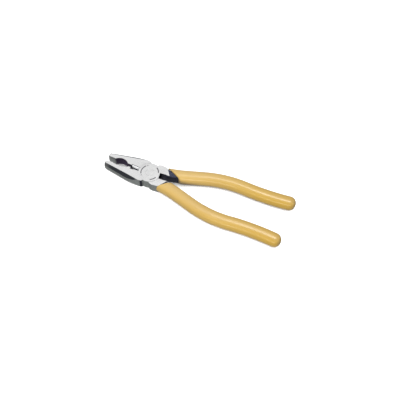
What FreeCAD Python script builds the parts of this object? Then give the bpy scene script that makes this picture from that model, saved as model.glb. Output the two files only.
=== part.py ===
"""Lineman pliers, modelled in millimetres.

Two forged halves cross in a lap joint, turn on one rivet and carry a dipped vinyl grip each.
The two halves share one plan: the second is the first turned over about the long axis.
Their pipe grips and cutting bevels are ground a little differently.
The frame has the jaws toward -X, the handles toward +X and +Z up.
Its origin is on the pivot axis, level with the flat underside of the head.
"""
import FreeCAD, Part
import math
import os
import Sketcher

V = FreeCAD.Vector

# Every driving dimension: alias, value in millimetres or degrees, meaning.
# The plan points are those of the closed pliers. A half's own jaw lies on -Y and its handle on +Y.
DIMENSIONS = [
    ("head_thick", 11.4, "thickness of the head"),
    ("lap_gap", 0.02, "half of the play between the two lapped discs"),
    ("open_angle", 3.7, "turn of each half from closed, in the rest pose"),
    ("jaw_gap", 0.05, "half of the gap between the closed jaws"),
    ("nose_x", 50.7, "pivot to the tip of the nose"),
    ("nose_half", 4.5, "half width of the closed nose"),
    ("cheek_x", 24.0, "where the straight flank of the jaw ends"),
    ("cheek_half", 11.6, "half width of the head there"),
    ("cheek_radius", 56.0, "radius of the flank from there to the widest point"),
    ("wide_x", 9.5, "where the head is widest"),
    ("wide_half", 13.2, "half width of the head there"),
    ("notch_x", 5.2, "outer corner of the shoulder beside the notch"),
    ("notch_half", 13.0, "half width of the head there"),
    ("notch_foot_x", 3.7, "foot of the slanted shoulder, inside the lap disc"),
    ("notch_foot_half", 11.3, "half width at that foot"),
    ("disc_radius", 11.9, "radius of the lap disc"),
    ("seat_radius", 12.05, "radius of the seat cut for the other half's disc"),
    ("crotch_x", 10.9, "pivot to the flat of the crotch"),
    ("crotch_y", 2.7, "inner side of the handle at the crotch"),
    ("crotch_far", 18.0, "far end of the cut that opens the crotch"),
    ("crotch_reach", 5.0, "how far that cut passes the long axis"),
    ("shoulder_start", 4.8, "near end of the shoulder, inside the disc"),
    ("shoulder_foot", 10.6, "half width of the shoulder at that end"),
    ("shoulder_x", 5.6, "where the handle's shoulder leaves the disc"),
    ("shoulder_y", 12.1, "half width of the shoulder there"),
    ("heel_x", 8.8, "outer corner of the shoulder"),
    ("heel_y", 12.9, "half width of the shoulder at that corner"),
    ("face_out_x", 15.6, "outer end of the ground face on the handle"),
    ("face_out_y", 11.9, "half width of the handle there"),
    ("face_in_x", 21.5, "inner end of the ground face on the handle"),
    ("face_in_y", 2.3, "inner side of the handle there"),
    ("rivet_radius", 4.5, "radius of the rivet"),
    ("bore_radius", 4.53, "radius of the hole in the half that turns on the rivet"),
    ("rivet_edge", 0.1, "chamfer at each end of the rivet"),
    ("flank_slope", 14.4, "angle of the flank bevel's upper edge to the long axis"),
    ("flank_start", 2.15, "half width of the ground face at the tip of the nose"),
    ("disc_flank_drop", 61.0, "angle of the flank bevel to the face on the disc's side"),
    ("seat_flank_drop", 36.0, "angle of the flank bevel to the face on the seat's side"),
    ("nose_thin", 0.7, "how much lower the face is at the tip of the nose"),
    ("nose_edge", 0.6, "bevel across the tip of the nose"),
    ("thin_x", 22.0, "where the face starts to fall toward the nose"),
    ("serration_start", 50.4, "pivot to the first of the serrations on the flat nose"),
    ("serration_pitch", 0.95, "spacing of those serrations"),
    ("serration_width", 0.76, "width of one of them"),
    ("serration_depth", 0.32, "depth of those serrations"),
    ("serration_count", 8, "number of those serrations"),
    ("upper_recess_x", 34.0, "pivot to the middle of the pipe grip in the upper jaw"),
    ("upper_recess_half", 7.2, "half length of the pipe grip there"),
    ("upper_recess_depth", 3.0, "depth of the pipe grip there"),
    ("lower_recess_x", 33.0, "pivot to the middle of the pipe grip in the lower jaw"),
    ("lower_recess_half", 9.0, "half length of the pipe grip there"),
    ("lower_recess_depth", 2.4, "depth of the pipe grip there"),
    ("tooth_pitch", 1.5, "spacing of the teeth in the pipe grip"),
    ("tooth_depth", 0.55, "depth of those teeth"),
    ("cutter_start", 21.6, "outer end of the cutter"),
    ("cutter_length", 9.6, "length of the cutter"),
    ("upper_cutter_bevel", 1.0, "setback of the upper jaw's cutting bevel at the face"),
    ("lower_cutter_bevel", 2.3, "setback of the lower jaw's cutting bevel at the face"),
    ("mark_radius", 9.25, "radius of the ring of stamped dashes"),
    ("mark_width", 1.1, "width of those dashes"),
    ("mark_depth", 0.25, "depth of those dashes"),
    ("tang_thick", 9.9, "thickness of the tang"),
    ("tang_half", 4.9, "half width of the tang"),
    ("tang_round", 1.6, "rounding of the tang's long edges"),
    ("tang_end", 145.0, "pivot to the end of the tang"),
    ("path_x", 12.0, "start of the handle's centreline"),
    ("path_y", 5.75, "its distance from the long axis at the start"),
    ("path_angle", 3.1, "its angle to the long axis at the start"),
    ("rise_radius", 131.0, "radius of the first bend, away from the axis"),
    ("rise_angle", 13.7, "angle after that bend"),
    ("rise_run", 21.1, "straight run after it"),
    ("crown_radius", 115.0, "radius of the bend back toward the axis"),
    ("crown_angle", 8.2, "angle toward the axis after that bend"),
    ("flare_radius", 268.0, "radius of the last bend, which flares the end"),
    ("grip_half", 7.0, "half width of a grip"),
    ("grip_thick", 12.8, "thickness of a grip"),
    ("grip_base", 0.0, "height of a grip's underside, level with the head's"),
    ("grip_end", 155.0, "pivot to the end of a grip"),
    ("grip_round", 5.4, "rounding of a grip's long edges"),
    ("lip_outer_y", 14.5, "distance from the long axis at which the outer lip position holds"),
    ("lip_inner_y", 0.5, "distance from the long axis at which the inner lip position holds"),
    ("upper_lip_out_x", 12.6, "upper grip's front edge on the outer side"),
    ("upper_lip_in_x", 35.5, "upper grip's front edge on the inner side"),
    ("lower_lip_out_x", 12.2, "lower grip's front edge on the outer side"),
    ("lower_lip_in_x", 26.2, "lower grip's front edge on the inner side"),
]

# How far the cutting tools reach past the metal.
CLEAR = 1.0
FLANK_CUT_WIDTH = 3.7
FRONT_CUT_REACH = 30.0

# An edge within this distance of the front of the handle belongs to its square front.
FRONT_EDGE_REACH = 6.0

# Lengths under this count as nothing.
FLAT = 0.001
JOINED = 0.01

# Stamped dashes on the upper disc: start and end angle in degrees, in the rest pose.
DASHES = [(124, 130), (138, 212), (221, 226), (17, 62), (295, 338)]

doc = FreeCAD.newDocument("lineman_pliers")
sheet = doc.addObject("Spreadsheet::Sheet", "dims")
for row, (alias, number, meaning) in enumerate(DIMENSIONS, start=1):
    sheet.set(f"A{row}", meaning)
    sheet.set(f"B{row}", str(number))
    sheet.setAlias(f"B{row}", alias)
doc.recompute()


def dim(alias):
    """A dimension's value, read from the sheet; a leading minus negates it."""
    if alias.startswith("-"):
        return -float(sheet.get(alias[1:]))
    return float(sheet.get(alias))


def cell(alias):
    """The expression that names a dimension; a leading minus negates it."""
    if alias.startswith("-"):
        return f"-dims.{alias[1:]}"
    return f"dims.{alias}"


def origin_plane(body, role):
    """The body's own origin plane with that role."""
    for feature in body.Origin.OriginFeatures:
        if feature.Role == role:
            return feature
    raise ValueError(f"no origin plane {role}")


def new_sketch(body, name, role="XY_Plane"):
    """An empty sketch on one of the body's origin planes."""
    sketch = body.newObject("Sketcher::SketchObject", name)
    sketch.AttachmentSupport = [(origin_plane(body, role), "")]
    sketch.MapMode = "FlatFace"
    return sketch


def pin_point(sketch, edge, vertex, corner):
    """Hold an edge's end at a corner whose two coordinates are dimensions."""
    for kind, alias in zip(("DistanceX", "DistanceY"), corner):
        index = sketch.addConstraint(Sketcher.Constraint(kind, -1, 1, edge, vertex, dim(alias)))
        sketch.setExpression(f"Constraints[{index}]", cell(alias))


def add_outline(sketch, corners):
    """A closed outline of straight edges through corners given as dimensions."""
    points = [V(dim(x), dim(y), 0) for x, y in corners]
    edges = []
    for start, end in zip(points, points[1:] + points[:1]):
        edges.append(sketch.addGeometry(Part.LineSegment(start, end)))
    for edge, following, corner in zip(edges, edges[1:] + edges[:1], corners):
        pin_point(sketch, edge, 1, corner)
        sketch.addConstraint(Sketcher.Constraint("Coincident", edge, 2, following, 1))


def add_circle(sketch, radius):
    """A circle about the origin whose radius is a dimension."""
    circle = sketch.addGeometry(Part.Circle(V(0, 0, 0), V(0, 0, 1), dim(radius)))
    sketch.addConstraint(Sketcher.Constraint("Coincident", circle, 3, -1, 1))
    index = sketch.addConstraint(Sketcher.Constraint("Radius", circle, dim(radius)))
    sketch.setExpression(f"Constraints[{index}]", cell(radius))


def extrude(body, kind, sketch, start, length):
    """Pad or pocket a sketch on the XY plane upward, from a start height over a length."""
    feature = body.newObject(f"PartDesign::{kind}", f"{sketch.Name}_{kind.lower()}")
    feature.Profile = sketch
    sketch.setExpression(".AttachmentOffset.Base.z", start)
    feature.setExpression("Length", length)
    feature.Reversed = kind == "Pocket"
    return feature


def cut_across(body, sketch):
    """Pocket a sketch through everything, to both sides."""
    feature = body.newObject("PartDesign::Pocket", f"{sketch.Name}_cut")
    feature.Profile = sketch
    feature.Type = "ThroughAll"
    feature.Midplane = True
    return feature


def add_edges(sketch, edges):
    """Edges that meet end to end: two points make a straight one, three an arc through the middle one."""
    for edge in edges:
        sketch.addGeometry(Part.Arc(*edge) if len(edge) == 3 else Part.LineSegment(*edge))


def add_polygon(sketch, corners):
    """Straight edges from corner to corner, closed."""
    add_edges(sketch, list(zip(corners, corners[1:] + corners[:1])))


def arc_span(start, heading, radius, end_heading):
    """A bend: its start and end heading in radians, radius, side and centre."""
    side = 1.0 if end_heading > heading else -1.0
    centre = start + V(-side * radius * math.sin(heading), side * radius * math.cos(heading), 0)
    return {"from": heading, "to": end_heading, "radius": radius, "side": side, "centre": centre}


def arc_point(span, heading, offset=0.0):
    """The point of a bend where it has that heading, moved sideways by an offset."""
    reach = span["side"] * (span["radius"] - span["side"] * offset)
    return span["centre"] + V(reach * math.sin(heading), -reach * math.cos(heading), 0)


def centreline(end_x):
    """The bends of the handle's centreline up to end_x; a straight run joins the first to the second."""
    level = math.radians(dim("path_angle"))
    steep = math.radians(dim("rise_angle"))
    back = -math.radians(dim("crown_angle"))
    rise = arc_span(V(dim("path_x"), dim("path_y"), 0), level, dim("rise_radius"), steep)
    run = V(math.cos(steep), math.sin(steep), 0) * dim("rise_run")
    crown = arc_span(arc_point(rise, steep) + run, steep, dim("crown_radius"), back)
    flare = arc_span(arc_point(crown, back), back, dim("flare_radius"), 0.0)
    flare["to"] = math.asin((end_x - flare["centre"].x) / flare["radius"])
    return [rise, crown, flare]


def side_edges(end_x, offset):
    """One side of the handle, from front to end, as edges at an offset from the centreline."""
    edges = []
    for span in centreline(end_x):
        stops = [span["from"], 0.5 * (span["from"] + span["to"]), span["to"]]
        start, middle, end = [arc_point(span, heading, offset) for heading in stops]
        if edges and (edges[-1][-1] - start).Length > JOINED:
            edges.append((edges[-1][-1], start))
        edges.append((start, middle, end))
    return edges


def add_handle_outline(sketch, half_width, end_x, round_end):
    """A closed plan outline of the handle: both sides, a straight front and a square or round end."""
    outer = side_edges(end_x, half_width)
    inner = [tuple(reversed(edge)) for edge in reversed(side_edges(end_x, -half_width))]
    if round_end:
        flare = centreline(end_x)[-1]
        heading = flare["to"]
        tip = arc_point(flare, heading) + V(math.cos(heading), math.sin(heading), 0) * half_width
        end = (outer[-1][-1], tip, inner[0][0])
    else:
        end = (outer[-1][-1], inner[0][0])
    front = (inner[-1][-1], outer[0][0])
    add_edges(sketch, outer + [end] + inner + [front])


def add_jaw_outline(sketch):
    """The plan outline of a jaw: flat inner side, straight flank, curved cheek and slanted shoulder."""
    flank = V(-dim("cheek_x"), -dim("cheek_half"), 0)
    widest = V(-dim("wide_x"), -dim("wide_half"), 0)
    chord = widest - flank
    sagitta = dim("cheek_radius") - math.sqrt(dim("cheek_radius") ** 2 - (chord.Length / 2) ** 2)
    outward = V(chord.y, -chord.x, 0).normalize()
    bulge = (flank + widest) / 2 + outward * sagitta
    notch = V(-dim("notch_x"), -dim("notch_half"), 0)
    foot = V(-dim("notch_foot_x"), -dim("notch_foot_half"), 0)
    inner_end = V(-dim("notch_foot_x"), -dim("jaw_gap"), 0)
    inner_tip = V(-dim("nose_x"), -dim("jaw_gap"), 0)
    outer_tip = V(-dim("nose_x"), -dim("nose_half"), 0)
    edges = [
        (inner_tip, outer_tip),
        (outer_tip, flank),
        (flank, bulge, widest),
        (widest, notch),
        (notch, foot),
        (foot, inner_end),
        (inner_end, inner_tip),
    ]
    add_edges(sketch, edges)


def add_flank_bevels(sketch):
    """Sections of the bevels along the jaw's outer edges, above and below, which fade toward the joint."""
    height = dim("head_thick")
    slope = math.radians(dim("flank_slope"))
    edge = -dim("nose_x") * math.sin(slope) - dim("flank_start") * math.cos(slope)
    outside = FLANK_CUT_WIDTH
    for level, side, angle in ((height, 1.0, "disc_flank_drop"), (0.0, -1.0, "seat_flank_drop")):
        drop = math.tan(math.radians(dim(angle)))
        corners = [
            V(edge + outside, level + side * outside * drop, 0),
            V(edge - outside, level + side * outside * drop, 0),
            V(edge - outside, level - side * outside * drop, 0),
        ]
        add_polygon(sketch, corners)


def add_face_falls(sketch):
    """Side view of what is ground off above and below: the fall toward the nose and the tip's bevels."""
    height = dim("head_thick")
    tip = -dim("nose_x")
    fall = dim("nose_thin")
    edge = dim("nose_edge")
    for level, side in ((height, 1.0), (0.0, -1.0)):
        corners = [
            V(-dim("thin_x"), level, 0),
            V(tip + edge, level - side * fall, 0),
            V(tip, level - side * (fall + edge), 0),
            V(tip - CLEAR, level - side * (fall + edge), 0),
            V(tip - CLEAR, level + side * CLEAR, 0),
            V(-dim("thin_x"), level + side * CLEAR, 0),
        ]
        add_polygon(sketch, corners)


def add_recess(sketch, jaw):
    """The pipe grip: a circular segment cut into the jaw's inner side, with teeth along its arc."""
    half = dim(f"{jaw}_recess_half")
    depth = dim(f"{jaw}_recess_depth")
    radius = (half ** 2 + depth ** 2) / (2 * depth)
    centre = V(-dim(f"{jaw}_recess_x"), radius - depth - dim("jaw_gap"), 0)
    swing = math.asin(half / radius)
    count = int(2 * swing * radius / dim("tooth_pitch"))
    corners = [V(centre.x - half, CLEAR, 0)]
    for index in range(2 * count + 1):
        angle = -swing + swing * index / count
        reach = radius + (dim("tooth_depth") if index % 2 else 0.0)
        corners.append(centre + V(math.sin(angle), -math.cos(angle), 0) * reach)
    corners.append(V(centre.x + half, CLEAR, 0))
    add_polygon(sketch, corners)


def add_serrations(sketch):
    """Small triangular grooves side by side on the flat inner side of the nose."""
    inner = -dim("jaw_gap")
    width = dim("serration_width")
    for index in range(int(dim("serration_count"))):
        left = -dim("serration_start") + index * dim("serration_pitch")
        corners = [
            V(left, CLEAR, 0),
            V(left, inner, 0),
            V(left + width / 2, inner - dim("serration_depth"), 0),
            V(left + width, inner, 0),
            V(left + width, CLEAR, 0),
        ]
        add_polygon(sketch, corners)


def add_cutter(sketch, jaw):
    """Section of the cutter: bevels from both faces meet in an edge at half thickness."""
    inner = -dim("jaw_gap")
    middle = dim("head_thick") / 2
    setback = dim(f"{jaw}_cutter_bevel")
    for level in (dim("head_thick"), 0.0):
        corners = [
            V(inner, middle, 0),
            V(inner - setback, level, 0),
            V(CLEAR, level, 0),
            V(CLEAR, middle, 0),
        ]
        add_polygon(sketch, corners)


def add_dashes(sketch):
    """The ring of stamped dashes, each a curved slot."""
    outer = dim("mark_radius") + dim("mark_width") / 2
    inner = dim("mark_radius") - dim("mark_width") / 2
    for first, last in DASHES:
        angles = [math.radians(angle - dim("open_angle")) for angle in (first, (first + last) / 2, last)]
        far = [V(outer * math.cos(angle), outer * math.sin(angle), 0) for angle in angles]
        near = [V(inner * math.cos(angle), inner * math.sin(angle), 0) for angle in angles]
        add_edges(sketch, [tuple(far), (far[2], near[2]), (near[2], near[1], near[0]), (near[0], far[0])])


def long_edges(shape):
    """The names of the edges around a flat pad's top and bottom, its straight front apart."""
    names = []
    low, high = shape.BoundBox.ZMin, shape.BoundBox.ZMax
    front_x = shape.BoundBox.XMin + FRONT_EDGE_REACH
    for index, edge in enumerate(shape.Edges, start=1):
        box = edge.BoundBox
        level = abs(box.ZMin - box.ZMax) < FLAT
        outermost = abs(box.ZMin - low) < FLAT or abs(box.ZMin - high) < FLAT
        if level and outermost and box.XMax > front_x:
            names.append(f"Edge{index}")
    return names


def round_long_edges(body, pad, radius):
    """Round the edges around the top and bottom of a handle-shaped pad."""
    doc.recompute()
    rounding = body.newObject("PartDesign::Fillet", f"{pad.Name}_rounding")
    rounding.Base = (pad, long_edges(pad.Shape))
    rounding.setExpression("Radius", radius)


def make_half(name, jaw, bore, stamped):
    """One forged half in the closed pose, its own jaw on -Y, its handle on +Y and its disc on top."""
    body = doc.addObject("PartDesign::Body", name)
    body.Label = name
    middle = "dims.head_thick / 2"

    tang = new_sketch(body, f"{name}_tang")
    add_handle_outline(tang, dim("tang_half"), dim("tang_end"), round_end=False)
    bar = extrude(body, "Pad", tang, "(dims.head_thick - dims.tang_thick) / 2", "dims.tang_thick")
    round_long_edges(body, bar, "dims.tang_round")

    outline = new_sketch(body, f"{name}_outline")
    add_jaw_outline(outline)
    extrude(body, "Pad", outline, "0 mm", "dims.head_thick")

    falls = new_sketch(body, f"{name}_falls", "XZ_Plane")
    add_face_falls(falls)
    cut_across(body, falls)

    bevels = new_sketch(body, f"{name}_bevels", "YZ_Plane")
    add_flank_bevels(bevels)
    turn = FreeCAD.Rotation(V(0, 1, 0), -dim("flank_slope"))
    bevels.AttachmentOffset = FreeCAD.Placement(V(0, 0, 0), turn)
    cut_across(body, bevels)

    teeth = new_sketch(body, f"{name}_recess")
    add_recess(teeth, jaw)
    cut_across(body, teeth)

    serrations = new_sketch(body, f"{name}_serrations")
    add_serrations(serrations)
    cut_across(body, serrations)

    cutter = new_sketch(body, f"{name}_cutter", "YZ_Plane")
    add_cutter(cutter, jaw)
    cutter.setExpression(".AttachmentOffset.Base.z", "-dims.cutter_start")
    edge = body.newObject("PartDesign::Pocket", f"{name}_cutter_cut")
    edge.Profile = cutter
    edge.setExpression("Length", "dims.cutter_length")
    edge.Reversed = True

    shoulder = new_sketch(body, f"{name}_shoulder")
    add_outline(shoulder, [
        ("shoulder_start", "crotch_y"),
        ("face_in_x", "face_in_y"),
        ("face_out_x", "face_out_y"),
        ("heel_x", "heel_y"),
        ("shoulder_x", "shoulder_y"),
        ("shoulder_start", "shoulder_foot"),
    ])
    extrude(body, "Pad", shoulder, "0 mm", "dims.head_thick")

    seat = new_sketch(body, f"{name}_seat")
    add_circle(seat, "seat_radius")
    extrude(body, "Pocket", seat, "0 mm", f"{middle} + dims.lap_gap")

    disc = new_sketch(body, f"{name}_disc")
    add_circle(disc, "disc_radius")
    extrude(body, "Pad", disc, f"{middle} + dims.lap_gap", f"{middle} - dims.lap_gap")

    crotch = new_sketch(body, f"{name}_crotch")
    add_outline(crotch, [
        ("crotch_x", "crotch_y"),
        ("crotch_x", "-crotch_reach"),
        ("crotch_far", "-crotch_reach"),
        ("crotch_far", "crotch_y"),
    ])
    cut_across(body, crotch)

    pivot = new_sketch(body, f"{name}_pivot")
    add_circle(pivot, bore)
    cut_across(body, pivot)

    if stamped:
        dashes = new_sketch(body, f"{name}_dashes")
        add_dashes(dashes)
        extrude(body, "Pocket", dashes, "dims.head_thick - dims.mark_depth", "dims.mark_depth")
    return body


def make_grip(name, lip_outer, lip_inner, base):
    """A dipped grip on the closed +Y handle: a rounded sleeve, slanted in front and domed behind."""
    body = doc.addObject("PartDesign::Body", name)
    body.Label = name

    sleeve = new_sketch(body, f"{name}_sleeve")
    end_x = dim("grip_end") - dim("grip_half")
    add_handle_outline(sleeve, dim("grip_half"), end_x, round_end=True)
    pad = extrude(body, "Pad", sleeve, base, "dims.grip_thick")
    round_long_edges(body, pad, "dims.grip_round")

    cavity = new_sketch(body, f"{name}_cavity")
    add_handle_outline(cavity, dim("tang_half"), dim("tang_end"), round_end=False)
    extrude(body, "Pocket", cavity, "(dims.head_thick - dims.tang_thick) / 2", "dims.tang_thick")

    front = new_sketch(body, f"{name}_front")
    outer = V(dim(lip_outer), dim("lip_outer_y"), 0)
    inner = V(dim(lip_inner), dim("lip_inner_y"), 0)
    beyond = (outer - inner).normalize() * FRONT_CUT_REACH
    ahead = V(-beyond.y, beyond.x, 0)
    add_polygon(front, [outer + beyond, inner - beyond, inner - beyond + ahead, outer + beyond + ahead])
    cut_across(body, front)
    return body


def make_rivet(name):
    """The rivet, a pin with a small chamfer at each flush end."""
    body = doc.addObject("PartDesign::Body", name)
    body.Label = name
    shank = new_sketch(body, f"{name}_shank")
    add_circle(shank, "rivet_radius")
    pad = extrude(body, "Pad", shank, "0 mm", "dims.head_thick")
    doc.recompute()
    rims = [f"Edge{index}" for index, edge in enumerate(pad.Shape.Edges, start=1) if edge.Closed]
    chamfer = body.newObject("PartDesign::Chamfer", f"{name}_chamfer")
    chamfer.Base = (pad, rims)
    chamfer.setExpression("Size", "dims.rivet_edge")
    return body


def place(body, turned_over):
    """Open the half from the closed pose; a turned-over one is first flipped about the long axis."""
    if turned_over:
        flip = FreeCAD.Placement(V(0, 0, dim("head_thick")), FreeCAD.Rotation(V(1, 0, 0), 180))
        opening = FreeCAD.Placement(V(0, 0, 0), FreeCAD.Rotation(V(0, 0, 1), -dim("open_angle")))
        body.Placement = opening.multiply(flip)
    else:
        body.Placement = FreeCAD.Placement(V(0, 0, 0), FreeCAD.Rotation(V(0, 0, 1), dim("open_angle")))


lower_jaw_half = make_half("lower_jaw_half", "lower", "bore_radius", stamped=True)
upper_jaw_half = make_half("upper_jaw_half", "upper", "rivet_radius", stamped=False)
upper_handle_grip = make_grip("upper_handle_grip", "upper_lip_out_x", "upper_lip_in_x", "dims.grip_base")
turned_base = "dims.head_thick - dims.grip_thick - dims.grip_base"
lower_handle_grip = make_grip("lower_handle_grip", "lower_lip_out_x", "lower_lip_in_x", turned_base)
pivot_rivet = make_rivet("pivot_rivet")

place(lower_jaw_half, turned_over=False)
place(upper_handle_grip, turned_over=False)
place(upper_jaw_half, turned_over=True)
place(lower_handle_grip, turned_over=True)
doc.recompute()

for item in doc.Objects:
    if "Invalid" in item.State or "Error" in item.State:
        raise RuntimeError(f"{item.Name} failed: {item.State}")

os.makedirs("parts", exist_ok=True)
for part in (lower_jaw_half, upper_jaw_half, pivot_rivet, upper_handle_grip, lower_handle_grip):
    shape = part.Shape
    if shape.isNull() or not shape.isValid() or len(shape.Solids) != 1:
        raise RuntimeError(f"{part.Label} is not one valid solid")
    shape.exportStep(os.path.join("parts", part.Label + ".step"))
    box = shape.BoundBox
    print(part.Label, round(shape.Volume), [round(value, 2) for value in (
        box.XMin, box.XMax, box.YMin, box.YMax, box.ZMin, box.ZMax)])
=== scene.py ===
"""Lineman pliers: the looks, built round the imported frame.

Lengths are in metres, in the frame of the CAD model: jaws toward -X, handles toward +X, +Z up.
"""

import math

import bmesh
import bpy
from mathutils import Matrix, Vector, noise


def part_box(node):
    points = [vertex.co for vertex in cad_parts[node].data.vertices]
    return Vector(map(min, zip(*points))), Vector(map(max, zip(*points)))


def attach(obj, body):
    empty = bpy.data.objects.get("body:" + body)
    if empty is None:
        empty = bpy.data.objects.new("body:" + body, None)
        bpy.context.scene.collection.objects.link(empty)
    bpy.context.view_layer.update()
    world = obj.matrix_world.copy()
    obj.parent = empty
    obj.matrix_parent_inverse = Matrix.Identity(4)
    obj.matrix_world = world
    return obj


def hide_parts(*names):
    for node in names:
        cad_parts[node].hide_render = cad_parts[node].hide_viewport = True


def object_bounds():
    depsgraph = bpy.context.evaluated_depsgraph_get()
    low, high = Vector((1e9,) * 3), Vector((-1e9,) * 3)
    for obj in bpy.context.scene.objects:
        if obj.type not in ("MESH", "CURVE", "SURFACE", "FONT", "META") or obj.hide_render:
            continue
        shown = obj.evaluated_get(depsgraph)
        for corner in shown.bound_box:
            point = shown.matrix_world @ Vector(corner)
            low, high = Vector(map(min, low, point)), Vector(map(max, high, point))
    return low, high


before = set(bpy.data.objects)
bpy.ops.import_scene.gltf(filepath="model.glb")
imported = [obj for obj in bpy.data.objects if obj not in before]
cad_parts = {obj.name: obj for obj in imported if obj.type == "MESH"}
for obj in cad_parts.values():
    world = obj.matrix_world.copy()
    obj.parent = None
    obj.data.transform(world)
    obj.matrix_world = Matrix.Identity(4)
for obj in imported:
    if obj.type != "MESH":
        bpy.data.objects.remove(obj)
CAD_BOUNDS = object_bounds()

MM = 0.001

# ---------------------------------------------------------------- what the frame gives

HEAD_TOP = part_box("pivot_rivet")[1].z
MIDDLE = HEAD_TOP / 2
NOSE_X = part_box("lower_jaw_half")[0].x
GRIP_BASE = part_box("upper_handle_grip")[0].z
GRIP_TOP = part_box("upper_handle_grip")[1].z
FLOOR_Z = CAD_BOUNDS[0][2]

# Stretches of the two halves along the pliers. Where a stretch has no far end, the pair is its soft edge.
RECESS = (-42.2 * MM, -23.8 * MM)
THROAT = (-27.0 * MM, -11.0 * MM)
CUTTER = (-21.7 * MM, -11.9 * MM)
JAW_END = (-13.0 * MM, -12.0 * MM)
FLANK_END = (-14.0 * MM, -7.0 * MM)
NOTCH = (-5.6 * MM, -3.4 * MM)
HANDLE_START = (4.4 * MM, 5.2 * MM)
TANG_START = (12.0 * MM, 13.0 * MM)
TIP = (NOSE_X, NOSE_X + 10.0 * MM)

# Soft limits of those stretches, measured from the long axis.
CUTTER_SIDE = (2.6 * MM, 2.8 * MM)
FLANK_SIDE = (3.2 * MM, 3.6 * MM)
RECESS_SIDE = (6.5 * MM, 7.5 * MM)
CROTCH_SIDE = (9.0 * MM, 10.0 * MM)
NOTCH_SIDE = (10.5 * MM, 11.0 * MM)
TANG_SIDE = (10.6 * MM, 11.4 * MM)

# Soft limits measured up and down from the middle of the head.
CUTTER_HEIGHT = (4.7 * MM, 5.0 * MM)
BELOW_FACE = (5.3 * MM, 5.5 * MM)
STAMPED_FLOOR = (5.3 * MM, 5.55 * MM)
FULL_HEIGHT = (5.60 * MM, 5.66 * MM)

# How far a surface faces up or down: 0 on an upright side, 1 on a level face.
CUTTER_SLOPE = (0.14, 0.50)
FACET_SLOPE = (0.42, 0.86)
LEVEL_SLOPE = (0.90, 0.94)

# Half widths of the soft ends of those stretches and slopes.
RECESS_FADE = 1.6 * MM
THROAT_FADE = 0.3 * MM
NOTCH_FADE = 0.2 * MM
CUTTER_FADE = 0.05 * MM
STAMPED_FADE = 0.05 * MM
CUTTER_SLOPE_FADE = 0.02
FACET_SLOPE_FADE = 0.03


# ---------------------------------------------------------------- material helpers

class Tree:
    """A material's node tree, with short calls for the nodes used here."""

    def __init__(self, name):
        self.material = bpy.data.materials.new(name)
        self.material.use_nodes = True
        self.nodes = self.material.node_tree.nodes
        self.links = self.material.node_tree.links
        self.shader = self.nodes["Principled BSDF"]
        coords = self.add("ShaderNodeTexCoord")
        self.place = coords.outputs["Object"]
        self.x, self.y, self.z = self.parts(self.place)
        self.facing = self.parts(coords.outputs["Normal"])

    def add(self, kind, **settings):
        """A new node with its settings."""
        node = self.nodes.new(kind)
        for key, value in settings.items():
            setattr(node, key, value)
        return node

    def feed(self, socket, value):
        """Link an output to a socket, or write a constant on it."""
        if isinstance(value, bpy.types.NodeSocket):
            self.links.new(value, socket)
        elif value is not None:
            socket.default_value = value

    def parts(self, vector):
        """The three components of a vector."""
        node = self.add("ShaderNodeSeparateXYZ")
        self.feed(node.inputs[0], vector)
        return node.outputs[0], node.outputs[1], node.outputs[2]

    def math(self, operation, first, second=None):
        """One arithmetic step."""
        node = self.add("ShaderNodeMath", operation=operation)
        self.feed(node.inputs[0], first)
        self.feed(node.inputs[1], second)
        return node.outputs[0]

    def ramp(self, value, low, high, to_low=0.0, to_high=1.0):
        """Smooth step of a value from one range to another."""
        node = self.add("ShaderNodeMapRange", interpolation_type="SMOOTHSTEP")
        for socket, item in zip(node.inputs, (value, low, high, to_low, to_high)):
            self.feed(socket, item)
        return node.outputs[0]

    def fall(self, value, low, high):
        """Smooth step down from 1 to 0."""
        return self.ramp(value, low, high, 1.0, 0.0)

    def band(self, value, low, high, edge):
        """1 between two limits, 0 outside, with soft edges."""
        rise = self.ramp(value, low - edge, low + edge)
        return self.product(rise, self.fall(value, high - edge, high + edge))

    def product(self, first, *others):
        """All the values multiplied."""
        for value in others:
            first = self.math("MULTIPLY", first, value)
        return first

    def most(self, first, *others):
        """The largest of the values."""
        for value in others:
            first = self.math("MAXIMUM", first, value)
        return first

    def mix(self, amount, first, second):
        """Blend of two colours."""
        node = self.add("ShaderNodeMix", data_type="RGBA")
        self.feed(node.inputs["Factor"], amount)
        self.feed(node.inputs[6], first)
        self.feed(node.inputs[7], second)
        return node.outputs[2]

    def blend(self, amount, first, second):
        """Blend of two numbers."""
        node = self.add("ShaderNodeMix", data_type="FLOAT")
        self.feed(node.inputs["Factor"], amount)
        self.feed(node.inputs[2], first)
        self.feed(node.inputs[3], second)
        return node.outputs[0]

    def noise(self, scale, stretch=(1, 1, 1), detail=4.0, roughness=0.5):
        """Noise with a scale in cycles per metre, which the stretch multiplies along each axis."""
        scaled = self.add("ShaderNodeVectorMath", operation="MULTIPLY")
        self.feed(scaled.inputs[0], self.place)
        self.feed(scaled.inputs[1], stretch)
        node = self.add("ShaderNodeTexNoise")
        self.feed(node.inputs["Vector"], scaled.outputs[0])
        self.feed(node.inputs["Scale"], scale)
        self.feed(node.inputs["Detail"], detail)
        self.feed(node.inputs["Roughness"], roughness)
        return node.outputs["Fac"]

    def bump(self, height, depth, normal=None):
        """Bump whose height of 1 is a depth in metres."""
        node = self.add("ShaderNodeBump")
        self.feed(node.inputs["Height"], height)
        self.feed(node.inputs["Distance"], depth)
        self.feed(node.inputs["Strength"], 1.0)
        self.feed(node.inputs["Normal"], normal)
        return node.outputs[0]

    def set(self, **sockets):
        """Feed the shader's sockets, each named with _ for a space."""
        for name, value in sockets.items():
            self.feed(self.shader.inputs[name.replace("_", " ")], value)


# ---------------------------------------------------------------- materials

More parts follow.
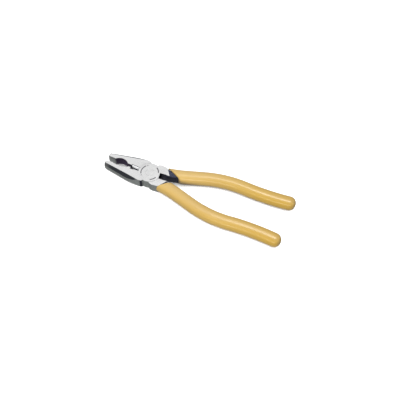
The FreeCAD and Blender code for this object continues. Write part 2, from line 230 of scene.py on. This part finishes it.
# Forged steel. A pair of colours is the range that noise runs over.
GROUND_TONES = ((0.53, 0.53, 0.535, 1), (0.60, 0.60, 0.595, 1))
GROUND_CLOUD = (0.50, 0.505, 0.51, 1)
# Cutter bevels: ground steel given a near-white, mostly non-metallic tone as a painted highlight. Above
# CUTTER_HEIGHT they keep the dull side tone, which makes a dark line along their top.
CUTTER_PAINTED_HIGHLIGHT = (0.86, 0.865, 0.87, 1)
CUTTER_METALLIC = 0.12
SIDE_TONES = ((0.30, 0.325, 0.315, 1), (0.46, 0.485, 0.47, 1))
# Flank bevels: painted shade, a near-black tone, darker than the sides, standing for the dark surroundings
# they reflect.
FACET_PAINTED_SHADE = (0.105, 0.115, 0.130, 1)
# Sides near the nose: painted light, a paler tone fading in toward the tip below the face's edge.
TIP_PAINTED_LIGHT = (0.50, 0.51, 0.505, 1)
TIP_PAINTED_LIGHT_AMOUNT = 0.75
# Painted shade laid over the steel's dark oxide: near-black in the throat, crotch, notch and tang, purplish
# in the toothed recess.
HOLLOW_SHADE_TONES = ((0.020, 0.022, 0.036, 1), (0.055, 0.058, 0.082, 1))
RECESS_SHADE_TONES = ((0.045, 0.030, 0.065, 1), (0.120, 0.090, 0.150, 1))
STAMPED_TONE = (0.10, 0.10, 0.105, 1)
GROUND_ROUGHNESS = (0.19, 0.27)
SIDE_ROUGHNESS = (0.34, 0.50)
CROSS_SCRATCHES = 0.4
SCRATCH_DEPTH = 0.006 * MM
PIT_DEPTH = 0.06 * MM

# The levels of a noise over which it goes from none of its effect to all of it.
MOST_NOISE = (0.3, 0.7)
SCRATCH_SPREAD = (0.25, 0.75)
CLOUD_SPREAD = (0.35, 0.70)
CLOUD_AMOUNT = 0.3
SIDE_SPREAD = (0.30, 0.75)


def steel_shade_hollows(tree, off_axis):
    """Where painted shade makes the steel near-black over its dark oxide: the toothed recess by itself, and
    all the hollows together.
    """
    inside = tree.fall(off_axis, *RECESS_SIDE)
    recess = tree.product(tree.band(tree.x, *RECESS, RECESS_FADE), inside)
    throat = tree.product(tree.band(tree.x, *THROAT, THROAT_FADE), tree.fall(off_axis, *CUTTER_SIDE))
    crotch = tree.product(tree.ramp(tree.x, *HANDLE_START), tree.fall(off_axis, *CROTCH_SIDE))
    tang = tree.product(tree.ramp(tree.x, *TANG_START), tree.fall(off_axis, *TANG_SIDE))
    notch = tree.product(tree.band(tree.x, *NOTCH, NOTCH_FADE), tree.ramp(off_axis, *NOTCH_SIDE))
    return recess, tree.most(recess, throat, crotch, notch, tang)


def steel_material():
    """Forged steel: bright ground faces, cutters with a painted highlight, flank bevels and hollows with
    painted shade, dull sides with painted light toward the nose.
    """
    tree = Tree("forged_steel_ground_and_dull")
    upright = tree.math("ABSOLUTE", tree.facing[2])
    off_axis = tree.math("ABSOLUTE", tree.y)
    off_middle = tree.math("ABSOLUTE", tree.math("SUBTRACT", tree.z, MIDDLE))

    flat = tree.ramp(upright, *LEVEL_SLOPE)
    face = tree.product(flat, tree.most(tree.ramp(off_middle, *FULL_HEIGHT), tree.fall(tree.x, *JAW_END)))
    # Painted highlight: the cutter bevels, near-white up to CUTTER_HEIGHT.
    cutter = tree.product(
        tree.band(tree.x, *CUTTER, CUTTER_FADE),
        tree.band(upright, *CUTTER_SLOPE, CUTTER_SLOPE_FADE),
        tree.fall(off_axis, *CUTTER_SIDE),
        tree.fall(off_middle, *CUTTER_HEIGHT),
    )
    bright = tree.most(face, cutter)
    recess, hollow_shade = steel_shade_hollows(tree, off_axis)
    flank = tree.product(tree.fall(tree.x, *FLANK_END), tree.ramp(off_axis, *FLANK_SIDE))
    # Painted shade on the flank bevels.
    facet = tree.product(flank, tree.band(upright, *FACET_SLOPE, FACET_SLOPE_FADE))
    # Painted light: the sides paler toward the nose tip.
    tip = tree.product(tree.fall(tree.x, *TIP), tree.fall(off_middle, *BELOW_FACE), TIP_PAINTED_LIGHT_AMOUNT)
    stamped = tree.product(flat, tree.band(off_middle, *STAMPED_FLOOR, STAMPED_FADE))

    cloud = tree.noise(scale=90, detail=5)
    scratch = tree.noise(scale=260, stretch=(1, 14, 14), detail=6, roughness=0.65)
    cross = tree.noise(scale=420, stretch=(9, 1.6, 9), detail=4, roughness=0.6)
    mottle = tree.noise(scale=700, detail=6, roughness=0.62)

    ground = tree.mix(tree.ramp(scratch, *SCRATCH_SPREAD), *GROUND_TONES)
    ground = tree.mix(tree.ramp(cloud, *CLOUD_SPREAD, 0.0, CLOUD_AMOUNT), ground, GROUND_CLOUD)
    # The cutters' painted highlight.
    ground = tree.mix(cutter, ground, CUTTER_PAINTED_HIGHLIGHT)
    side = tree.mix(tree.ramp(mottle, *MOST_NOISE), *SIDE_TONES)
    side = tree.mix(facet, side, FACET_PAINTED_SHADE)
    # The sides' painted light near the nose.
    side = tree.mix(tip, side, TIP_PAINTED_LIGHT)
    # Painted shade in the hollows and the toothed recess.
    dark = tree.mix(tree.ramp(mottle, *MOST_NOISE), *HOLLOW_SHADE_TONES)
    dark = tree.mix(recess, dark, tree.mix(mottle, *RECESS_SHADE_TONES))
    dull = tree.mix(stamped, tree.mix(hollow_shade, side, dark), STAMPED_TONE)

    ground_rough = tree.blend(tree.ramp(cloud, *MOST_NOISE), *GROUND_ROUGHNESS)
    side_rough = tree.blend(tree.ramp(mottle, *SIDE_SPREAD), *SIDE_ROUGHNESS)
    scratches = tree.product(bright, tree.math("ADD", scratch, tree.product(cross, CROSS_SCRATCHES)))
    pits = tree.product(tree.math("SUBTRACT", 1.0, bright), mottle)
    relief = tree.bump(pits, PIT_DEPTH, tree.bump(scratches, SCRATCH_DEPTH))
    tree.set(
        Base_Color=tree.mix(bright, dull, ground),
        Metallic=tree.blend(cutter, 1.0, CUTTER_METALLIC),
        Roughness=tree.blend(bright, side_rough, ground_rough),
        Normal=relief,
    )
    return tree.material


RIVET_TONES = ((0.52, 0.52, 0.525, 1), (0.57, 0.57, 0.565, 1))
RIVET_ROUGHNESS = (0.20, 0.28)
TURNING_PITCH = 0.28 * MM
TURNING_SHARE = 0.35
TURNING_DEPTH = 0.004 * MM


def rivet_material():
    """The rivet's end, ground flush with fine turning marks."""
    tree = Tree("rivet_ground_flush")
    square = tree.math("ADD", tree.math("POWER", tree.x, 2.0), tree.math("POWER", tree.y, 2.0))
    radius = tree.math("SQRT", square)
    rings = tree.math("SINE", tree.product(radius, 2 * math.pi / TURNING_PITCH))
    cloud = tree.noise(scale=240, detail=6, roughness=0.6)
    tree.set(
        Base_Color=tree.mix(tree.ramp(cloud, *MOST_NOISE), *RIVET_TONES),
        Metallic=1.0,
        Roughness=tree.blend(cloud, *RIVET_ROUGHNESS),
        Normal=tree.bump(tree.math("ADD", tree.product(rings, TURNING_SHARE), cloud), TURNING_DEPTH),
    )
    return tree.material


# Vinyl: painted light, paler near the head and warmer toward the end, with drifting patches, specks and a
# scuffed end with painted shade.
VINYL_PAINTED_LIGHT_PALE = (0.325, 0.218, 0.067, 1)
VINYL_WARM = (0.275, 0.170, 0.024, 1)
VINYL_DRIFT = (0.266, 0.166, 0.035, 1)
VINYL_SPECK = (0.21, 0.13, 0.03, 1)
# The end's scuffing and painted shade: darkest where the surface faces +X, and a little darker all round the
# end.
VINYL_SCUFF_AND_SHADE = (0.15, 0.105, 0.040, 1)
VINYL_PAINTED_LIGHT_FADE = (20.0 * MM, 150.0 * MM)
VINYL_ROUGHNESS = (0.24, 0.36)
DRIFT_SPREAD = (0.35, 0.70)
DRIFT_AMOUNT = 0.35
SPECK_SPREAD = (0.66, 0.78)
SPECK_AMOUNT = 0.25
END_SHADE_FACING = (0.30, 0.95)
SCUFF_AND_SHADE_START = (143.0 * MM, 153.0 * MM)
SCUFF_AND_SHADE_AROUND = 0.3
SCUFF_AND_SHADE_AMOUNT = 0.70
PEEL_DEPTH = 0.035 * MM


def vinyl_material():
    """Dipped yellow vinyl: smooth, slightly uneven in tone, scuffed and darkened with painted shade at the
    end, with a faint orange peel.
    """
    tree = Tree("vinyl_dipped_yellow")
    drift = tree.noise(scale=22, detail=3)
    speck = tree.noise(scale=1400, detail=3, roughness=0.7)
    peel = tree.noise(scale=520, detail=2)
    # Painted light: paler near the head, darker and warmer toward the end.
    colour = tree.mix(tree.ramp(tree.x, *VINYL_PAINTED_LIGHT_FADE), VINYL_PAINTED_LIGHT_PALE, VINYL_WARM)
    colour = tree.mix(tree.ramp(drift, *DRIFT_SPREAD, 0.0, DRIFT_AMOUNT), colour, VINYL_DRIFT)
    colour = tree.mix(tree.ramp(speck, *SPECK_SPREAD, 0.0, SPECK_AMOUNT), colour, VINYL_SPECK)
    # Painted shade where the end faces +X, with scuffing all round the end.
    end_facing_shade = tree.ramp(tree.facing[0], *END_SHADE_FACING)
    around_end = tree.ramp(tree.x, *SCUFF_AND_SHADE_START, 0.0, SCUFF_AND_SHADE_AROUND)
    scuff_and_shade = tree.product(tree.most(end_facing_shade, around_end), SCUFF_AND_SHADE_AMOUNT)
    tree.set(
        Base_Color=tree.mix(scuff_and_shade, colour, VINYL_SCUFF_AND_SHADE),
        Roughness=tree.blend(drift, *VINYL_ROUGHNESS),
        Normal=tree.bump(peel, PEEL_DEPTH),
    )
    return tree.material


# ---------------------------------------------------------------- steel pieces

# The mesh is joined and its flat faces merged, then edges that turn by more than SHARP are rounded.
JOINED = 0.0005 * MM
IN_PLANE = math.radians(0.3)
SHARP = math.radians(21)
EDGE_ROUNDING = 0.12 * MM

# Edges that turn by less than these are shaded smooth: between level faces, on the head and on the tang.
CREASE = math.radians(0.5)
SMOOTH = math.radians(35)
TANG_SMOOTH = math.radians(60)

# How upright the normal of a level face is at least.
LEVEL = 0.97

# Where edges keep their corner.
HEAD_END = 17.0 * MM
STAMPED_DEPTH = 0.3 * MM
STAMPED_RING = (8.5 * MM, 10.0 * MM)
TOOTHED_HALF = 7.5 * MM
TOOTHED_START = NOSE_X + 0.4 * MM


def keeps_corner(edge):
    """Whether an edge belongs to the serrations, the teeth, a stamped dash or the tang inside the grip."""
    middle = (edge.verts[0].co + edge.verts[1].co) / 2
    stamped = middle.z > HEAD_TOP - STAMPED_DEPTH and STAMPED_RING[0] < middle.xy.length < STAMPED_RING[1]
    toothed = abs(middle.y) < TOOTHED_HALF and TOOTHED_START < middle.x < RECESS[1]
    return toothed or stamped or middle.x > HEAD_END


def eased_copy(node_name, piece_name, material):
    """A copy of a CAD node's mesh whose long sharp edges are slightly rounded."""
    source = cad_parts[node_name]
    mesh = source.data.copy()
    mesh.materials.clear()
    mesh.materials.append(material)
    shape = bmesh.new()
    shape.from_mesh(mesh)
    bmesh.ops.remove_doubles(shape, verts=shape.verts, dist=JOINED)
    bmesh.ops.dissolve_limit(shape, angle_limit=IN_PLANE, verts=shape.verts, edges=shape.edges)
    weight = shape.edges.layers.float.new("bevel_weight_edge")
    for edge in shape.edges:
        edge.smooth = True
        if edge.is_manifold and edge.calc_face_angle() > SHARP and not keeps_corner(edge):
            edge[weight] = 1.0
    for face in shape.faces:
        face.smooth = True
    shape.to_mesh(mesh)
    shape.free()

    piece = bpy.data.objects.new(piece_name, mesh)
    bpy.context.scene.collection.objects.link(piece)
    bevel = piece.modifiers.new("easing", "BEVEL")
    bevel.limit_method = "WEIGHT"
    bevel.width = EDGE_ROUNDING
    bevel.segments = 2
    bevel.use_clamp_overlap = False
    bevel.miter_outer = "MITER_ARC"
    apply_modifiers(piece)
    mark_sharp(piece.data)
    weighted = piece.modifiers.new("even_shading", "WEIGHTED_NORMAL")
    weighted.mode = "FACE_AREA"
    weighted.weight = 60
    weighted.keep_sharp = True
    apply_modifiers(piece)
    return piece


def mark_sharp(mesh):
    """Keep the creases of the ground faces and every steep corner sharp, and smooth the rest."""
    shape = bmesh.new()
    shape.from_mesh(mesh)
    for edge in shape.edges:
        edge.smooth = True
        if edge.is_manifold:
            level = all(abs(face.normal.z) > LEVEL for face in edge.link_faces)
            if edge.verts[0].co.x > HEAD_END:
                limit = TANG_SMOOTH
            elif level:
                limit = CREASE
            else:
                limit = SMOOTH
            edge.smooth = edge.calc_face_angle() < limit
    for face in shape.faces:
        face.smooth = True
    shape.to_mesh(mesh)
    shape.free()


def apply_modifiers(piece):
    """Turn a piece's modifiers into plain mesh."""
    depsgraph = bpy.context.evaluated_depsgraph_get()
    mesh = bpy.data.meshes.new_from_object(piece.evaluated_get(depsgraph))
    piece.modifiers.clear()
    piece.data = mesh


# ---------------------------------------------------------------- grips

# The turn of each half from closed, in the rest pose.
OPENING = math.radians(3.7)

# The closed handle's centreline: three bends with a straight run after the first. Each row is turn, length.
PATH_START = Vector((12.0 * MM, 5.75 * MM))
PATH_HEADING = math.radians(3.1)
RISE_TURN = math.radians(10.6)
RISE_RADIUS = 131.0 * MM
RISE_RUN = 21.1 * MM
CROWN_TURN = math.radians(-21.9)
CROWN_RADIUS = 115.0 * MM
FLARE_TURN = math.radians(15.0)
FLARE_RADIUS = 268.0 * MM
PATH_BENDS = [
    (RISE_TURN, RISE_TURN * RISE_RADIUS),
    (0.0, RISE_RUN),
    (CROWN_TURN, -CROWN_TURN * CROWN_RADIUS),
    (FLARE_TURN, FLARE_TURN * FLARE_RADIUS),
]

# Half sizes of the grip and of the cavity for the tang. A power of 2 is an oval, a larger one squarer.
GRIP_MIDDLE = (GRIP_TOP + GRIP_BASE) / 2
GRIP_HIGH = (GRIP_TOP - GRIP_BASE) / 2
GRIP_WIDE = 7.0 * MM
GRIP_POWER = 2.6
DOME_START_X = 148.0 * MM
DOME_POWER = 2.3
TANG_WIDE = 4.87 * MM
TANG_HIGH = 4.92 * MM
TANG_POWER = 6.0
TANG_END_X = 145.0 * MM
LIP_LENGTH = 1.5 * MM
LIP_POWER = 2.4

# How finely a grip is meshed, and how its surface waves.
RING_POINTS = 44
SLEEVE_RINGS = 96
CAVITY_RINGS = 40
DOME_RINGS = 12
LIP_RINGS = 7
WAVINESS = 0.012
WAVE_LENGTH = 17.0 * MM

# The slanted front of each grip: its outer and inner point.
LIP_LINES = {
    "upper": (Vector((12.6, 14.5)) * MM, Vector((35.5, 0.5)) * MM),
    "lower": (Vector((12.2, 14.5)) * MM, Vector((26.2, 0.5)) * MM),
}

# Searches along the centreline: how far they look, and how often they halve.
HANDLE_REACH = 200.0 * MM
LIP_REACH = 60.0 * MM
HALVINGS = 36


def along_handle(distance):
    """The point and heading of the closed handle's centreline, that far from its start."""
    place, heading = PATH_START.copy(), PATH_HEADING
    for index, (turn, length) in enumerate(PATH_BENDS):
        last = index == len(PATH_BENDS) - 1
        run = distance if last else min(distance, length)
        if turn:
            bend = turn / length
            after = heading + bend * run
            place += Vector((math.sin(after) - math.sin(heading), math.cos(heading) - math.cos(after))) / bend
            heading = after
        else:
            place += Vector((math.cos(heading), math.sin(heading))) * run
        distance -= run
        if distance <= 0:
            break
    return place, heading


def beside_handle(distance, offset):
    """The point beside the centreline, at an offset away from the long axis."""
    place, heading = along_handle(distance)
    return place + Vector((-math.sin(heading), math.cos(heading))) * offset


def found(low, high, is_past):
    """Where a growing distance first passes a condition, by halving."""
    for _ in range(HALVINGS):
        middle = (low + high) / 2
        if is_past(middle):
            high = middle
        else:
            low = middle
    return high


def distance_to_x(x):
    """How far along the centreline is that far from the pivot."""
    return found(0.0, HANDLE_REACH, lambda distance: along_handle(distance)[0].x > x)


def distance_to_lip(offset, lip):
    """How far along a line beside the centreline crosses the slanted front of a grip."""
    outer, inner = lip
    slant = (inner - outer).normalized()
    backward = Vector((-slant.y, slant.x))

    def is_past(distance):
        return (beside_handle(distance, offset) - outer).dot(backward) > 0

    return found(0.0, LIP_REACH, is_past)


def section(wide, high, power):
    """A rounded closed section: its points' offsets sideways and upward."""
    points = []
    for index in range(RING_POINTS):
        angle = 2 * math.pi * (index + 0.5) / RING_POINTS
        across, up = math.cos(angle), math.sin(angle)
        points.append((
            math.copysign(abs(across) ** (2 / power), across) * wide,
            math.copysign(abs(up) ** (2 / power), up) * high,
        ))
    return points


def make_grip(name, lip, side, material):
    """A dipped sleeve: cavity for the tang, rounded slanted lip, swept outside and a blunt domed end."""
    shape = bmesh.new()
    turn = Matrix.Rotation(side * OPENING, 4, "Z")
    outside = section(GRIP_WIDE, GRIP_HIGH, GRIP_POWER)
    inside = [(wide, high + MIDDLE - GRIP_MIDDLE) for wide, high in section(TANG_WIDE, TANG_HIGH, TANG_POWER)]
    dome_start = distance_to_x(DOME_START_X)
    tang_end = distance_to_x(TANG_END_X)

    def vertex(distance, offset, rise):
        """A point of the sleeve, opened and on its own side, and a little thinner here and there."""
        place = beside_handle(distance, offset)
        spot = Vector((place.x, place.y * side, rise)) / WAVE_LENGTH
        thin = 1 - WAVINESS * (0.5 + 0.5 * noise.noise(spot))
        place = beside_handle(distance, offset * thin)
        return shape.verts.new(turn @ Vector((place.x, place.y * side, GRIP_MIDDLE + rise * thin)))

    def between(share, low, high):
        """The value at that share of the way from low to high."""
        return low + (high - low) * share

    rings = []
    for index in range(CAVITY_RINGS):
        share = 1 - index / CAVITY_RINGS
        rings.append([
            vertex(between(share, distance_to_lip(wide, lip), tang_end), wide, high) for wide, high in inside
        ])
    for index in range(LIP_RINGS):
        angle = index / LIP_RINGS * math.pi / 2
        out = math.sin(angle) ** (2 / LIP_POWER)
        back = (1 - math.cos(angle) ** (2 / LIP_POWER)) * LIP_LENGTH
        ring = []
        for (wide_in, high_in), (wide_out, high_out) in zip(inside, outside):
            wide = between(out, wide_in, wide_out)
            ring.append(vertex(distance_to_lip(wide, lip) + back, wide, between(out, high_in, high_out)))
        rings.append(ring)
    for index in range(SLEEVE_RINGS):
        share = index / SLEEVE_RINGS
        rings.append([
            vertex(between(share, distance_to_lip(wide, lip) + LIP_LENGTH, dome_start), wide, high)
            for wide, high in outside
        ])
    for index in range(DOME_RINGS):
        reach = math.sin(index / DOME_RINGS * math.pi / 2)
        narrow = math.sqrt(1 - reach ** 2)
        low = (1 - reach ** DOME_POWER) ** (1 / DOME_POWER)
        rings.append([
            vertex(dome_start + reach * GRIP_WIDE, wide * narrow, high * low)
            for wide, high in outside
        ])

    for ring, following in zip(rings, rings[1:]):
        for index in range(RING_POINTS):
            after = (index + 1) % RING_POINTS
            shape.faces.new((ring[index], ring[after], following[after], following[index]))
    cavity_end = vertex(tang_end, 0.0, MIDDLE - GRIP_MIDDLE)
    tip = vertex(dome_start + GRIP_WIDE, 0.0, 0.0)
    for ring, pole in ((rings[0], cavity_end), (rings[-1], tip)):
        for index in range(RING_POINTS):
            shape.faces.new((ring[index], ring[(index + 1) % RING_POINTS], pole))
    bmesh.ops.recalc_face_normals(shape, faces=shape.faces)
    for face in shape.faces:
        face.smooth = True

    mesh = bpy.data.meshes.new(name)
    shape.to_mesh(mesh)
    shape.free()
    mesh.materials.append(material)
    piece = bpy.data.objects.new(name, mesh)
    bpy.context.scene.collection.objects.link(piece)
    return piece


# ---------------------------------------------------------------- the pieces

steel = steel_material()
rivet_steel = rivet_material()
vinyl = vinyl_material()

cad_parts["pivot_rivet"].material_slots[0].material = rivet_steel

for node, body in (("upper_jaw_half", "fixed_half"), ("lower_jaw_half", "turning_half")):
    piece = eased_copy(node, f"{node}_steel", steel)
    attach(piece, body)
    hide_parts(node)

for node, body, lip, side in (
    ("upper_handle_grip", "turning_half", "upper", 1),
    ("lower_handle_grip", "fixed_half", "lower", -1),
):
    piece = make_grip(f"{node}_vinyl", LIP_LINES[lip], side, vinyl)
    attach(piece, body)
    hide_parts(node)


# ---------------------------------------------------------------- floor, light and camera

# The floor's glow fades from its full to its shaded level as its surroundings close in.
FLOOR_HALF = 3.0
FLOOR_TONES = ((0.54, 0.54, 0.54, 1), (0.56, 0.56, 0.56, 1))
FLOOR_GLOW = 0.62
FLOOR_SHADED_GLOW = FLOOR_GLOW * 0.02
FLOOR_SHADE_REACH = 14.0 * MM
FLOOR_SHADE_EDGE = (0.32, 0.54)

# The world's light. Each edge is how nearly a direction points there as the light starts and is full.
CANOPY_DIRECTION = (-0.10, 0.60, 0.79)
CANOPY_EDGE = (0.24, 0.54)
CANOPY_LIGHT = 1.14
SURROUND_LIGHT = 0.16
APRON_DIRECTION = (0.05, -0.50, -0.87)
APRON_EDGE = (0.50, 0.95)
APRON_LIGHT = 0.35
END_DIRECTIONS = ((0.92, 0.05, 0.38), (-0.92, 0.05, 0.38))
END_EDGE = (0.55, 0.92)
END_LIGHT = 0.58
BACKDROP_LIGHT = 1.1

# Softboxes: name, place, point faced, size, power, and whether the steel mirrors it.
SOFTBOXES = [
    ("key", (0.14, 0.26, 0.80), (0.07, 0, 0), (0.40, 0.08), 3.7, True),
    ("fill", (-0.05, -0.34, 0.86), (-0.01, 0, 0), (0.22, 0.16), 3.0, False),
    ("low", (0.30, -0.95, 0.34), (0.07, 0, 0), (0.9, 0.3), 14.0, False),
    ("front", (0.30, -0.90, 0.45), (0.05, 0, 0), (0.9, 0.3), 4.0, True),
]

CAMERA_TARGET = Vector((60.9, -8.1, 5.7)) * MM
CAMERA_DISTANCE = 619 * MM
CAMERA_ELEVATION = math.radians(56.9)
CAMERA_SWING = math.radians(22.85)
CAMERA_LENS = 54.0


def floor_material():
    """Pale floor whose glow fades under and between the parts, where little light would reach it."""
    tree = Tree("floor")
    occlusion = tree.add("ShaderNodeAmbientOcclusion", samples=8)
    tree.feed(occlusion.inputs["Distance"], FLOOR_SHADE_REACH)
    openness = occlusion.outputs["AO"]
    tree.set(
        Base_Color=tree.mix(tree.noise(scale=6, detail=2), *FLOOR_TONES),
        Roughness=0.7,
        Emission_Color=(1, 1, 1, 1),
        Emission_Strength=tree.ramp(openness, *FLOOR_SHADE_EDGE, FLOOR_SHADED_GLOW, FLOOR_GLOW),
    )
    return tree.material


def add_floor():
    """A square floor that neither lights the object nor is mirrored in it."""
    mesh = bpy.data.meshes.new("floor")
    corners = [(x * FLOOR_HALF, y * FLOOR_HALF, FLOOR_Z) for x, y in ((-1, -1), (1, -1), (1, 1), (-1, 1))]
    mesh.from_pydata(corners, [], [(0, 1, 2, 3)])
    mesh.materials.append(floor_material())
    floor = bpy.data.objects.new("floor", mesh)
    bpy.context.scene.collection.objects.link(floor)
    floor.visible_diffuse = False
    floor.visible_glossy = False


def add_softbox(name, place, target, size, power, mirrored):
    """A rectangular area light that faces a point."""
    light = bpy.data.lights.new(name, "AREA")
    light.shape = "RECTANGLE"
    light.size, light.size_y = size
    light.energy = power
    box = bpy.data.objects.new(name, light)
    box.location = place
    box.rotation_euler = (Vector(target) - Vector(place)).to_track_quat("-Z", "Y").to_euler()
    box.visible_glossy = mirrored
    bpy.context.scene.collection.objects.link(box)


def add_camera():
    """The camera looks along +Y, swung toward the handles and raised."""
    level = math.cos(CAMERA_ELEVATION)
    away = Vector((
        math.sin(CAMERA_SWING) * level,
        -math.cos(CAMERA_SWING) * level,
        math.sin(CAMERA_ELEVATION),
    ))
    data = bpy.data.cameras.new("camera")
    data.lens = CAMERA_LENS
    data.clip_start = 0.01
    camera = bpy.data.objects.new("camera", data)
    camera.location = CAMERA_TARGET + away * CAMERA_DISTANCE
    camera.rotation_euler = (-away).to_track_quat("-Z", "Y").to_euler()
    bpy.context.scene.collection.objects.link(camera)
    bpy.context.scene.camera = camera


def add_world():
    """A bright canopy, a dim surround, an apron from below, a glow off each end and a white backdrop."""
    world = bpy.data.worlds.new("studio")
    world.use_nodes = True
    nodes = world.node_tree.nodes
    links = world.node_tree.links
    background = nodes["Background"]
    background.inputs["Color"].default_value = (1, 1, 1, 1)
    direction = nodes.new("ShaderNodeTexCoord").outputs["Generated"]

    def toward(target, edge, outside, inside):
        """A level that goes from outside to inside as the direction nears the target."""
        nearness = nodes.new("ShaderNodeVectorMath")
        nearness.operation = "DOT_PRODUCT"
        nearness.inputs[1].default_value = target
        level = nodes.new("ShaderNodeMapRange")
        level.interpolation_type = "SMOOTHSTEP"
        for socket, value in zip(level.inputs[1:5], (*edge, outside, inside)):
            socket.default_value = value
        links.new(direction, nearness.inputs[0])
        links.new(nearness.outputs["Value"], level.inputs[0])
        return level.outputs[0]

    def total(first, second):
        """The sum of two levels."""
        node = nodes.new("ShaderNodeMath")
        node.operation = "ADD"
        links.new(first, node.inputs[0])
        links.new(second, node.inputs[1])
        return node.outputs[0]

    canopy = toward(CANOPY_DIRECTION, CANOPY_EDGE, SURROUND_LIGHT, CANOPY_LIGHT)
    apron = toward(APRON_DIRECTION, APRON_EDGE, 0.0, APRON_LIGHT)
    studio = total(canopy, apron)
    for direction_to_end in END_DIRECTIONS:
        studio = total(studio, toward(direction_to_end, END_EDGE, 0.0, END_LIGHT))
    seen = nodes.new("ShaderNodeMix")
    links.new(nodes.new("ShaderNodeLightPath").outputs["Is Camera Ray"], seen.inputs["Factor"])
    links.new(studio, seen.inputs[2])
    seen.inputs[3].default_value = BACKDROP_LIGHT
    links.new(seen.outputs[0], background.inputs["Strength"])
    bpy.context.scene.world = world


add_floor()
add_world()
for softbox in SOFTBOXES:
    add_softbox(*softbox)
add_camera()
bpy.context.scene.view_settings.view_transform = "Standard"
